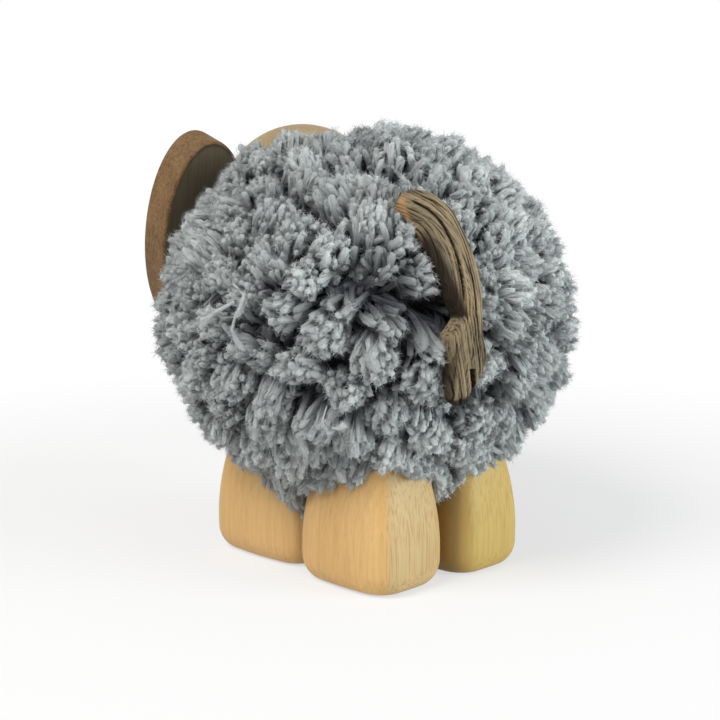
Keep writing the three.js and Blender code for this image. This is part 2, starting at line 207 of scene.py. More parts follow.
def makeEarWood(name, wood):
    material, flow = startFinish(name)
    grain = attribute(flow, "grain", "Vector")  # millimetres: across the ear, up it, through it
    rim = attribute(flow, "rim")
    border = attribute(flow, "border")  # millimetres in from the outline
    streak = grain.place((1, 0.06, 1)).noise(1.6, 4, 0.65)
    cloud = grain.noise(0.12, 3)
    face = (1.5 * streak + 0.8 * cloud - 0.75).colour(wood["face"], wood["faceStreak"])
    edge = (1 - border.between(0.1, 1.1)) * (0.5 + grain.noise(0.9, 2))
    face = (0.85 * edge).colour(face, wood["border"])
    speck = grain.place((0.5, 0.5, 1)).noise(2.2, 4, 0.7)
    patch = grain.noise(0.22, 3, 0.6)
    rimTone = (2.6 * speck + 1.2 * patch - 1.5).colour(wood["rim"], wood["rimDark"])
    relief = rim * (speck - streak)
    return fillShader(material, {
        "Base Color": rim.between(0.3, 0.7).colour(face, rimTone),
        "Roughness": 0.62 + 0.2 * speck,
        "Normal": relief.bump(0.25, 0.3 * mm),
        "Specular IOR Level": 0.25,
    })


tailWood = {
    "ridge": (0.36, 0.268, 0.155),
    # the wood's dark grain lines, also used as painted shade in the grooves and the slit
    "grooveAndShade": (0.014, 0.009, 0.005),
    "weathered": (0.22, 0.178, 0.112),
    "freshEnd": (0.36, 0.205, 0.09),
    # painted shade: the split left flank, its lower edge and the lower end go near black where the yarn
    # shades them, over the split's own browner wood
    "splitFaceAndShade": (0.011, 0.006, 0.0035),
}


def makeTailWood(name, wood):
    material, flow = startFinish(name)
    grain = attribute(flow, "grain", "Vector")  # millimetres: across, out, along
    grooveAndShade = attribute(flow, "grooveAndShade")
    fresh = attribute(flow, "fresh")
    splitFaceAndShade = attribute(flow, "splitFaceAndShade")
    streak = grain.place((1, 0.3, 0.06)).noise(2.6, 4, 0.7)
    hair = grain.place((1, 0.3, 0.1)).noise(6.5, 2, 0.6)
    cloud = grain.place((1, 1, 0.3)).noise(0.3, 3)
    tone = cloud.between(0.35, 0.65).colour(wood["ridge"], wood["weathered"])
    # painted shade on the split left flank and the lower end, over the split's browner wood
    tone = (splitFaceAndShade * (1.3 - 0.7 * streak)).colour(tone, wood["splitFaceAndShade"])
    # dark grain streaks, and painted shade in the grooves and slit by their depth
    dark = 1.15 * grooveAndShade + 1.6 * streak.between(0.48, 0.8) + 0.5 * hair.between(0.5, 0.75)
    tone = dark.maths("MINIMUM", dark, 1.0).colour(tone, wood["grooveAndShade"])
    worn = grain.noise(0.8, 3, 0.6).between(0.3, 0.62)
    tone = (fresh * worn).colour(tone, wood["freshEnd"])
    return fillShader(material, {
        "Base Color": tone,
        "Roughness": 0.7 + 0.2 * streak,
        "Normal": (1 - streak).bump(0.6, 0.4 * mm),
        "Specular IOR Level": 0.2,
    })


yarnTone = {
    # painted shade: deep is the near black of the strands' roots and of the core, tip and light the lit outer
    # ends
    "deep": (0.025, 0.028, 0.037),
    "tip": (0.41, 0.434, 0.436),
    "light": (0.63, 0.663, 0.66),
    "dark": (0.15, 0.16, 0.178),
}


def makeYarn(name, tone):
    material, flow = startFinish(name)
    along = attribute(flow, "along")
    tint = attribute(flow, "tint")
    lay = attribute(flow, "lay", "Vector")  # millimetres: round the strand, and up it
    streak = lay.place((1, 1, 0.3)).noise(2.2, 3, 0.65)
    fluff = lay.noise(2.2, 3, 0.65)
    # painted shade: each strand darkens from its lit tip down to its root, and the random lighter tone shows
    # only near the tips
    body = along.between(0.38, 0.9).colour(tone["deep"], tone["tip"])
    bright = 1.3 * tint + 1.2 * fluff - 0.98
    body = (bright.between(0.0, 1.0) * along.between(0.55, 0.92)).colour(body, tone["light"])
    body = (streak.between(0.5, 0.8) * 0.35).colour(body, tone["dark"])
    felt = lay.noise(2.8, 3, 0.65) - 0.5 * streak
    return fillShader(material, {
        "Base Color": body,
        "Roughness": 0.92,
        "Normal": felt.bump(0.9, 0.4 * mm),
        "Specular IOR Level": 0.12,
        "Sheen Weight": 0.2,
        "Sheen Roughness": 0.5,
    })


beech = {"pale": (0.70, 0.50, 0.28), "dark": (0.54, 0.36, 0.17)}


def makeBeech(name, wood):
    material, flow = startFinish(name)
    coords = objectCoords(flow)
    streak = coords.place((1, 0.06, 0.06)).noise(1400, 3, 0.6)
    return fillShader(material, {
        "Base Color": streak.between(0.35, 0.7).colour(wood["pale"], wood["dark"]),
        "Roughness": 0.5 + 0.15 * streak,
        "Specular IOR Level": 0.3,
    })


def makeEyeWood(name):
    material, flow = startFinish(name)
    speck = objectCoords(flow).noise(900, 3, 0.6)
    return fillShader(material, {
        "Base Color": speck.between(0.3, 0.75).colour((0.012, 0.010, 0.008), (0.030, 0.022, 0.016)),
        "Roughness": 0.16 + 0.15 * speck,
        "Coat Weight": 0.4,
    })


def makeCord(name):
    material, flow = startFinish(name)
    coords = objectCoords(flow)
    values = {"Vector": coords, "Scale": 420.0}
    twist = flow.node("ShaderNodeTexWave", {"bands_direction": "DIAGONAL"}, values, "Fac")
    fluff = coords.noise(2400, 2)
    return fillShader(material, {
        "Base Color": (0.6 * twist + 0.5 * fluff).colour((0.20, 0.205, 0.21), (0.46, 0.47, 0.48)),
        "Roughness": 0.85 + 0.1 * fluff,
        "Normal": twist.bump(0.5, 0.4 * mm),
    })


honeyFinish = makeLightWood("honey_wood", honeyWood)
yellowShadedSidesFinish = makeLightWood("yellow_wood_painted_side_shade", yellowWoodShadedSides)
headFinish = makeLightWood("head_wood", headWood)
earFinish = makeEarWood("ear_wood", earWood)
tailFinish = makeTailWood("tail_wood", tailWood)
yarnFinish = makeYarn("grey_yarn", yarnTone)
beechFinish = makeBeech("beech", beech)
eyeFinish = makeEyeWood("black_eye_wood")
cordFinish = makeCord("twisted_cord")

plainFinishes = {"dowel_wood": beechFinish, "tie_cord": cordFinish}
for part in frame["record"]["subparts"]:
    if part["material_slot"] in plainFinishes:
        solid = frame["nodes"][part["node"]]
        solid.data.materials.clear()
        solid.data.materials.append(plainFinishes[part["material_slot"]])
print("finishes made")


# Modelling helpers

def startEdit():
    bpy.ops.object.mode_set(mode="EDIT")


def endEdit():
    bpy.ops.object.mode_set(mode="OBJECT")


def selectAll():
    bpy.ops.mesh.select_all(action="SELECT")


def applyPlace():
    bpy.ops.object.transform_apply(location=True, rotation=True, scale=True)


def takeUp(piece):
    bpy.ops.object.select_all(action="DESELECT")
    piece.select_set(True)
    bpy.context.view_layer.objects.active = piece


# names the shape that was just added, and fixes its size and place
def nameLast(name, size=(1, 1, 1)):
    piece = bpy.context.object
    piece.name = name
    piece.data.name = name
    piece.scale = size
    applyPlace()
    return piece


# selects the corners, edges or faces that pass a test, in edit mode
def pick(piece, kind, test):
    bpy.ops.mesh.select_mode(type=kind)
    bpy.ops.mesh.select_all(action="DESELECT")
    mesh = bmesh.from_edit_mesh(piece.data)
    items = {"VERT": mesh.verts, "EDGE": mesh.edges, "FACE": mesh.faces}[kind]
    for item in items:
        item.select_set(bool(test(item)))
    mesh.select_flush_mode()
    bmesh.update_edit_mesh(piece.data)


def cutAcross(height):
    selectAll()
    bpy.ops.mesh.bisect(plane_co=(0, 0, height), plane_no=(0, 0, 1))


def addModifier(piece, kind, settings):
    takeUp(piece)
    modifier = piece.modifiers.new(kind.lower(), kind)
    for key, value in settings.items():
        setattr(modifier, key, value)
    bpy.ops.object.modifier_apply(modifier=modifier.name)


def settle(piece, matrix):
    piece.matrix_world = matrix
    takeUp(piece)
    applyPlace()


def corners(piece):
    points = np.empty(len(piece.data.vertices) * 3)
    piece.data.vertices.foreach_get("co", points)
    return points.reshape(-1, 3)


def setCorners(piece, points):
    piece.data.vertices.foreach_set("co", np.ascontiguousarray(points).ravel())
    piece.data.update()


def addAttribute(piece, name, values, kind="FLOAT"):
    layer = piece.data.attributes.new(name, kind, "POINT")
    key = "vector" if kind == "FLOAT_VECTOR" else "value"
    layer.data.foreach_set(key, np.ascontiguousarray(values, dtype=np.float32).ravel())


def handOver(piece, node, finish):
    piece.data.materials.clear()
    piece.data.materials.append(finish)
    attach(piece, "root")
    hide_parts(node)


def middleOf(node):
    low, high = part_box(node)
    return (low + high) / 2


# a place on a ball of radius 1, by its height angle and its angle round from straight behind
def onBall(heightAngle, sideAngle):
    up, side = math.radians(heightAngle), math.radians(sideAngle)
    return np.array((math.cos(up) * math.sin(side), math.cos(up) * math.cos(side), math.sin(up)))


# values of a line of points at some steps along it
def readLine(at, steps, line):
    return np.stack([np.interp(at, steps, line[:, k]) for k in range(3)], 1)


# a smooth line through places, as evenly spaced points
def smoothLine(places, count):
    places = np.array(places, float)
    ends = np.vstack([2 * places[0] - places[1], places, 2 * places[-1] - places[-2]])
    line = []
    for a, b, c, d in zip(ends, ends[1:], ends[2:], ends[3:]):
        t = np.linspace(0, 1, 40, endpoint=False)[:, None]
        bend = (2 * a - 5 * b + 4 * c - d) * t ** 2 + (3 * b - a - 3 * c + d) * t ** 3
        line.append(0.5 * (2 * b + (c - a) * t + bend))
    line = np.vstack([*line, places[-1]])
    run = np.concatenate([[0], np.cumsum(np.linalg.norm(np.diff(line, axis=0), axis=1))])
    return readLine(np.linspace(0, run[-1], count), run, line)


def smoothStep(x):
    x = np.clip(x, 0, 1)
    return x * x * (3 - 2 * x)


def unit(vectors):
    return vectors / np.maximum(np.linalg.norm(vectors, axis=-1), 1e-12)[..., None]


# Legs: a block, its upright edges rounded, drawn in at the foot and the top

leg = {
    "frontLength": 34.4 * mm,
    "rearLength": 31 * mm,
    "width": 24.2 * mm,
    "height": 38 * mm,
    "corner": 7 * mm,
    "footInset": 4.2 * mm,
    "footRise": 6 * mm,
    "bulgeHeight": 9.5 * mm,
    "topInset": 6 * mm,
    "topCurve": 1.8,
    "roundness": 0.14,  # how far each level is drawn towards a circle
    "soleInset": 3 * mm,
    "cornerCuts": 12,
    "sideCuts": (-0.6, -0.2, 0.2, 0.6),  # shares of the flat half of a side
    "footCuts": (0.015, 0.06, 0.13, 0.22, 0.34, 0.48, 0.64, 0.82, 1),  # shares of the foot's rise
    "shaftCuts": 16,
    "turn": 22.5,
}


def legInset(height):
    if height < leg["footRise"]:
        return leg["footInset"] * (1 - math.sqrt(1 - (1 - height / leg["footRise"]) ** 2))
    shaft = leg["height"] - leg["bulgeHeight"]
    return leg["topInset"] * (max(height - leg["bulgeHeight"], 0) / shaft) ** leg["topCurve"]


def modelLeg(length):
    bpy.ops.mesh.primitive_cube_add(size=1, location=(0, 0, leg["height"] / 2))
    block = nameLast("leg_block", (leg["width"], length, leg["height"]))
    startEdit()
    pick(block, "EDGE", lambda edge: abs(edge.verts[0].co.z - edge.verts[1].co.z) > leg["height"] / 2)
    bpy.ops.mesh.bevel(offset=leg["corner"], segments=leg["cornerCuts"], affect="EDGES")
    for share in leg["sideCuts"]:
        for way, wide in (((1, 0, 0), leg["width"]), ((0, 1, 0), length)):
            pick(block, "FACE", lambda face: abs(face.normal.z) < 0.5)
            bpy.ops.mesh.bisect(plane_co=Vector(way) * share * (wide / 2 - leg["corner"]), plane_no=way)
    foot = [leg["footRise"] * share for share in leg["footCuts"]]
    rest, steps = leg["height"] - leg["footRise"], leg["shaftCuts"]
    shaft = [leg["footRise"] + rest * step / steps for step in range(1, steps)]
    for height in foot + shaft:
        cutAcross(height)
    for height in [0, *foot, *shaft, leg["height"]]:
        pick(block, "VERT", lambda corner: abs(corner.co.z - height) < 0.01 * mm)
        inset = 2 * legInset(height)
        narrow = (1 - inset / leg["width"], 1 - inset / length, 1)
        bpy.ops.transform.resize(value=narrow, center_override=(0, 0, height))
        bpy.ops.transform.tosphere(value=leg["roundness"])
    pick(block, "FACE", lambda face: abs(face.normal.z) > 0.99)
    bpy.ops.mesh.inset(thickness=leg["soleInset"])
    endEdit()
    addModifier(block, "SUBSURF", {"levels": 1, "render_levels": 1})
    bpy.ops.object.shade_smooth()
    facing = np.array([corner.normal for corner in block.data.vertices])
    level = np.maximum(np.hypot(facing[:, 0], facing[:, 1]), 1e-6)
    endwise, sidewise = np.abs(facing[:, 1]) / level, np.abs(facing[:, 0]) / level
    addAttribute(block, "endFace", smoothStep((endwise - 0.55) / 0.4))
    addAttribute(block, "corner", np.exp(-((endwise - sidewise - 0.05) / 0.25) ** 2))
    return block


woodPieces = []
for end in ("front", "rear"):
    block = modelLeg(leg[end + "Length"])
    for node in (end + "_left_leg", end + "_right_leg"):
        piece = block.copy()
        piece.data = block.data.copy()
        piece.name = node + "_block"
        bpy.context.collection.objects.link(piece)
        stand = middleOf(node + "_dowel")
        turn = Matrix.Rotation(math.radians(leg["turn"]), 4, "Z")
        settle(piece, Matrix.Translation((stand.x, stand.y, 0)) @ turn)
        # the rear right leg takes the finish with painted shade on its sides
        handOver(piece, node, yellowShadedSidesFinish if node == "rear_right_leg" else honeyFinish)
        woodPieces.append(piece)
    bpy.data.objects.remove(block)
print("legs modelled")


# Head: a ball with the trunk grown out of it, blended and sanded smooth

ballMiddle = np.array(middleOf("centre_post"))
ballMiddle[2] = middleOf("spine_dowel").z - 9 * mm
ballRadii = np.array((51.5, 51.5, 46.2)) * mm  # out to the tips of the yarn

head = {
    "middle": ballMiddle + np.array((0, -43.7, 21.8)) * mm,
    "radii": np.array((23.5, 24, 24.9)) * mm,
    "trunkReach": 24 * mm,
    "trunkDrop": 60 * mm,
    "trunkCurl": 15 * mm,
    "baseRadius": 16.5 * mm,
    "tipRadius": 5.75 * mm,
    "taper": 1.9,
    "tipFlatness": 0.6,
    "voxel": 0.75 * mm,
    "sandings": 14,
}


def modelHead():
    bpy.ops.mesh.primitive_uv_sphere_add(segments=64, ring_count=40, radius=1, location=head["middle"])
    ball = nameLast("head_and_trunk", head["radii"])
    reach, drop, curl = head["trunkReach"], head["trunkDrop"], head["trunkCurl"]
    places = [(0.34 * reach, -0.07 * drop), (0.8 * reach, -0.17 * drop), (reach, -0.42 * drop),
              (reach, -0.72 * drop), (reach + 0.36 * curl, -0.98 * drop), (reach + curl, -drop)]
    line = smoothLine([(0, -ahead, up) for ahead, up in places], 40) + head["middle"]
    path = bpy.data.curves.new("trunk", "CURVE")
    path.dimensions = "3D"
    path.bevel_depth = 1
    path.bevel_resolution = 10
    path.use_fill_caps = True
    spline = path.splines.new("POLY")
    spline.points.add(len(line) - 1)
    flare = head["baseRadius"] - head["tipRadius"]
    for step, (point, place) in enumerate(zip(spline.points, line)):
        share = step / (len(line) - 1)
        point.co = (*place, 1)
        point.radius = head["tipRadius"] + flare * (1 - share) ** head["taper"]
    trunk = bpy.data.objects.new("trunk", path)
    bpy.context.collection.objects.link(trunk)
    takeUp(trunk)
    bpy.ops.object.convert(target="MESH")
    trunk = bpy.context.object
    tip = head["tipRadius"]
    bpy.ops.mesh.primitive_uv_sphere_add(segments=24, ring_count=16, radius=tip, location=line[-1])
    end = nameLast("trunk_end", (1, head["tipFlatness"], 1))
    takeUp(ball)
    trunk.select_set(True)
    end.select_set(True)
    bpy.ops.object.join()
    addModifier(ball, "REMESH", {"mode": "VOXEL", "voxel_size": head["voxel"]})
    addModifier(ball, "SMOOTH", {"factor": 0.5, "iterations": head["sandings"]})
    bpy.ops.object.shade_smooth()
    return ball


headPiece = modelHead()
handOver(headPiece, "head", headFinish)
woodPieces.append(headPiece)
print("head modelled")


# Ears: oval slabs with their edges just broken, stained dark on both faces

ear = {
    "width": 26.8 * mm,
    "height": 56.6 * mm,
    "thickness": 9.4 * mm,
    "edge": 0.9 * mm,
    "edgeCuts": 4,
    "rimCuts": (-2.4, -1.2, 0, 1.2, 2.4),  # millimetres from the middle of the slab
    "faceInsets": 5,
    "faceInset": 0.4 * mm,
    "inHead": 6.2 * mm,
    "behind": 1.2 * mm,
    "drop": 4.5 * mm,
    "rightDrop": 6 * mm,
    "sweep": 19,
    "tilt": 19,
    "roll": 9,
}


def modelEar(name, side):
    bpy.ops.mesh.primitive_cylinder_add(vertices=128, radius=1, depth=1)
    slab = nameLast(name, (ear["width"] / 2, ear["height"] / 2, ear["thickness"]))
    startEdit()
    pick(slab, "EDGE", lambda edge: abs(edge.verts[0].co.z - edge.verts[1].co.z) < 0.01 * mm)
    bpy.ops.mesh.bevel(offset=ear["edge"], segments=ear["edgeCuts"], affect="EDGES")
    for height in ear["rimCuts"]:
        cutAcross(height * mm)
    for step in range(ear["faceInsets"]):
        pick(slab, "FACE", lambda face: abs(face.normal.z) > 0.99 and len(face.verts) > 4)
        bpy.ops.mesh.inset(thickness=ear["faceInset"])
    endEdit()
    points = corners(slab) / mm
    half = ear["width"] / 2 / mm
    reach = np.hypot(points[:, 0] / half, points[:, 1] / (ear["height"] / 2 / mm))
    onFace = np.abs(points[:, 2]) > ear["thickness"] / 2 / mm - 0.01
    addAttribute(slab, "grain", points, "FLOAT_VECTOR")
    addAttribute(slab, "border", (1 - reach) * half)
    addAttribute(slab, "rim", ~onFace & (reach > 0.9))
    tilt = Matrix.Rotation(math.pi / 2 - math.radians(ear["tilt"]), 4, "X")
    sweep = Matrix.Rotation(side * math.radians(ear["sweep"]), 4, "Z")
    roll = Matrix.Rotation(-side * math.radians(ear["roll"]), 4, "Z")
    out = head["radii"][0] - ear["inHead"] + ear["width"] / 2
    drop = ear["drop"] if side > 0 else ear["rightDrop"]
    place = head["middle"] + np.array((side * out, ear["behind"], -drop))
    settle(slab, Matrix.Translation(place) @ sweep @ tilt @ roll)
    bpy.ops.object.shade_smooth_by_angle(angle=math.radians(40))
    return slab


for node, side in (("left_ear", 1), ("right_ear", -1)):
    piece = modelEar(node + "_slab", side)
    handOver(piece, node, earFinish)
    woodPieces.append(piece)
print("ears modelled")


# Eyes: black pegs with domed ends

eye = {"radius": 2.2 * mm, "dome": 1.3 * mm, "inHead": 2 * mm, "turn": 36, "lift": 13}


def modelEye(name, side):
    facing = onBall(eye["lift"], 180 - side * eye["turn"])
    seat = facing / np.linalg.norm(facing / head["radii"])
    outward = Vector(seat / head["radii"] ** 2).normalized()
    bpy.ops.mesh.primitive_uv_sphere_add(segments=32, ring_count=20, radius=1)
    dome = nameLast(name, (eye["radius"], eye["radius"], eye["dome"]))
    startEdit()
    selectAll()
    bpy.ops.mesh.bisect(plane_co=(0, 0, 0), plane_no=(0, 0, 1), clear_inner=True)
    pick(dome, "EDGE", lambda edge: len(edge.link_faces) == 1)
    bpy.ops.mesh.extrude_region_move(TRANSFORM_OT_translate={"value": (0, 0, -eye["inHead"])})
    bpy.ops.mesh.edge_face_add()
    endEdit()
    turned = outward.to_track_quat("Z", "Y").to_matrix().to_4x4()
    settle(dome, Matrix.Translation(Vector(head["middle"] + seat)) @ turned)
    bpy.ops.object.shade_smooth_by_angle(angle=math.radians(50))
    return dome


for node, side in (("left_eye", 1), ("right_eye", -1)):
    handOver(modelEye(node + "_dome", side), node, eyeFinish)
print("eyes modelled")


# Tail: a split stick with a grooved face, an open split in its left edge and a forked lower end

tail = {
    "width": 10.2 * mm,
    "thickness": 8.4 * mm,
    "sink": 1.6 * mm,
    # height and side angle on the ball's back, top end first
    "places": [(40, 13), (35.5, 5), (27.5, 1), (17.5, -1), (8, -2), (-2, -2), (-18, -2.5)],
    # share of the length, then left and right edge in half widths
    "outline": [
        (0, 0.2, 0.63), (0.05, 0.37, 0.98), (0.1, 0.61, 1.12), (0.18, 0.82, 1.1), (0.28, 0.9, 0.98),
        (0.37, 0.84, 0.94), (0.45, 0.71, 0.9), (0.53, 0.57, 0.82), (0.612, 0.31, 0.67), (0.69, 0.88, 0.69),
        (0.75, 0.82, 0.92), (0.81, 0.77, 0.95), (0.88, 0.72, 0.75), (0.94, 0.66, 0.43), (1, 0.5, 0.2),
    ],
    # where the main crack runs: share of the length, millimetres left of the middle line
    "crack": [(0.05, -2.4), (0.2, -1.2), (0.35, 0.0), (0.6, 1.6), (0.7, 1.1), (0.83, -0.6), (0.95, -2.2)],
    "crackDepth": 1.1,  # depths and widths of cracks in millimetres
    "slitFrom": 0.82,
    "slitTo": 0.97,
    "slitWidth": 0.5,
    "grooveGap": 0.62,
    "sideCurve": 0.85,  # powers that make its section boxy
    "faceCurve": 0.42,
    "endInset": 0.35,
    "lineSteps": 401,
    "rings": 170,
    "sides": 128,
    "seed": 4,
}


# depth of the cracks and grooves that follow the grain, for places given in millimetres
def grooveDepth(share, left, rng):
    places, lines = zip(*tail["crack"])
    offGrain = left - np.interp(share, places, lines)
    wobble = 0.12 * np.sin(2 * math.pi * (1.3 * share + 0.2))
    main = tail["crackDepth"] * np.exp(-((offGrain - wobble) / 0.2) ** 2)
    main = main * smoothStep((share - 0.02) / 0.1) * (0.25 + 0.75 * smoothStep((0.56 - share) / 0.1))
    fine = np.zeros(len(share))
    for number in range(-12, 13):
        at = number * tail["grooveGap"] + rng.uniform(-0.16, 0.16)
        wave = 0.07 * np.sin(2 * math.pi * (share * rng.uniform(0.6, 1.8) + rng.random()))
        fade = 0.5 + 0.5 * np.sin(2 * math.pi * (share * rng.uniform(0.8, 2.2) + rng.random()))
        deep = rng.uniform(0.2, 0.55) * (0.25 + 0.75 * fade)
        wide = rng.uniform(0.11, 0.2)
        fine = np.maximum(fine, deep * np.exp(-((offGrain - at - wave) / wide) ** 2))
    slit = (np.abs(offGrain) < tail["slitWidth"]) & (share > tail["slitFrom"]) & (share < tail["slitTo"])
    return np.maximum(main, fine), slit


def modelTail():
    rng = np.random.default_rng(tail["seed"])
    bpy.ops.mesh.primitive_cylinder_add(vertices=tail["sides"], radius=1, depth=1, location=(0, 0, 0.5))
    stick = nameLast("tail_stick")
    startEdit()
    for ring in range(1, tail["rings"]):
        cutAcross(ring / tail["rings"])
    pick(stick, "FACE", lambda face: abs(face.normal.z) > 0.99)
    for step in range(2):
        bpy.ops.mesh.inset(thickness=tail["endInset"])
    endEdit()

    points = corners(stick)
    share = 1 - points[:, 2]
    angle = np.arctan2(points[:, 0], points[:, 1])
    reach = np.hypot(points[:, 0], points[:, 1])
    half = tail["width"] / 2
    places, lefts, rights = zip(*tail["outline"])
    left, right = half * np.interp(share, places, lefts), half * np.interp(share, places, rights)
    wide = np.sign(np.sin(angle)) * np.abs(np.sin(angle)) ** tail["sideCurve"]
    side = (left - right) / 2 + (left + right) / 2 * wide * reach
    depth, slit = grooveDepth(share, side / mm, rng)
    swell = 1 - 0.3 * (1 - share) ** 6 - 0.45 * share ** 7  # thinner at both ends
    ridge = 1 + 0.04 * np.cos(3 * angle) + 0.04 * np.cos(5 * angle + 2 * share)
    flat = np.sign(np.cos(angle)) * np.abs(np.cos(angle)) ** tail["faceCurve"]
    front = smoothStep((np.cos(angle) + 0.25) / 0.5)
    out = tail["thickness"] / 2 * swell * ridge * flat * reach ** 0.5 - depth * mm * front
    out = np.where(slit & (front > 0.5), np.minimum(out, -1.5 * mm), out)

    back = ballRadii - tail["sink"]
    places = [onBall(*place) * back for place in tail["places"]]
    line = smoothLine(places, tail["lineSteps"]) + ballMiddle
    steps = np.linspace(0, 1, len(line))
    middle = readLine(share, steps, line)
    along = unit(readLine(share, steps, np.gradient(line, axis=0)))
    outward = middle - ballMiddle
    outward[:, 2] = 0
    across = unit(np.cross(along, outward))
    outward = np.cross(across, along)
    setCorners(stick, middle + across * side[:, None] + outward * out[:, None])
    length = np.linalg.norm(np.diff(line, axis=0), axis=1).sum()
    addAttribute(stick, "grain", np.stack([side, out, share * length], 1) / mm, "FLOAT_VECTOR")
    # painted shade in the grooves and the slit, deeper ones darker
    addAttribute(stick, "grooveAndShade", np.clip(depth / 0.5, 0, 1) * front + slit)
    slant = share - 0.012 * (side / mm + 1.5)
    addAttribute(stick, "fresh", smoothStep((0.055 - slant) / 0.03) * smoothStep((side / mm + 4.2) / 2.5))
    # painted shade where the yarn shades the stick: the split left flank, the lower left edge and the lower
    # end
    inSplit = smoothStep((share - 0.12) / 0.15) * smoothStep((0.625 - share) / 0.03)
    inSplit = inSplit * smoothStep((np.sin(angle) - 0.3) / 0.5)
    below = smoothStep((share - 0.72) / 0.1) * smoothStep((np.sin(angle) - 0.62) / 0.3)
    lowEndShade = smoothStep((share - 0.94 - 0.006 * side / mm) / 0.03)
    addAttribute(stick, "splitFaceAndShade", np.maximum(np.maximum(inSplit, 0.8 * below), lowEndShade))
    takeUp(stick)
    startEdit()
    selectAll()
    bpy.ops.mesh.normals_make_consistent(inside=False)
    endEdit()
    bpy.ops.object.shade_smooth_by_angle(angle=math.radians(50))
    return stick


tailPiece = modelTail()
handOver(tailPiece, "tail", tailFinish)
woodPieces.append(tailPiece)
print("tail modelled")


# Yarn: thousands of cut ends, each a soft strand with a blunt tip, wrapped in locks of fibre

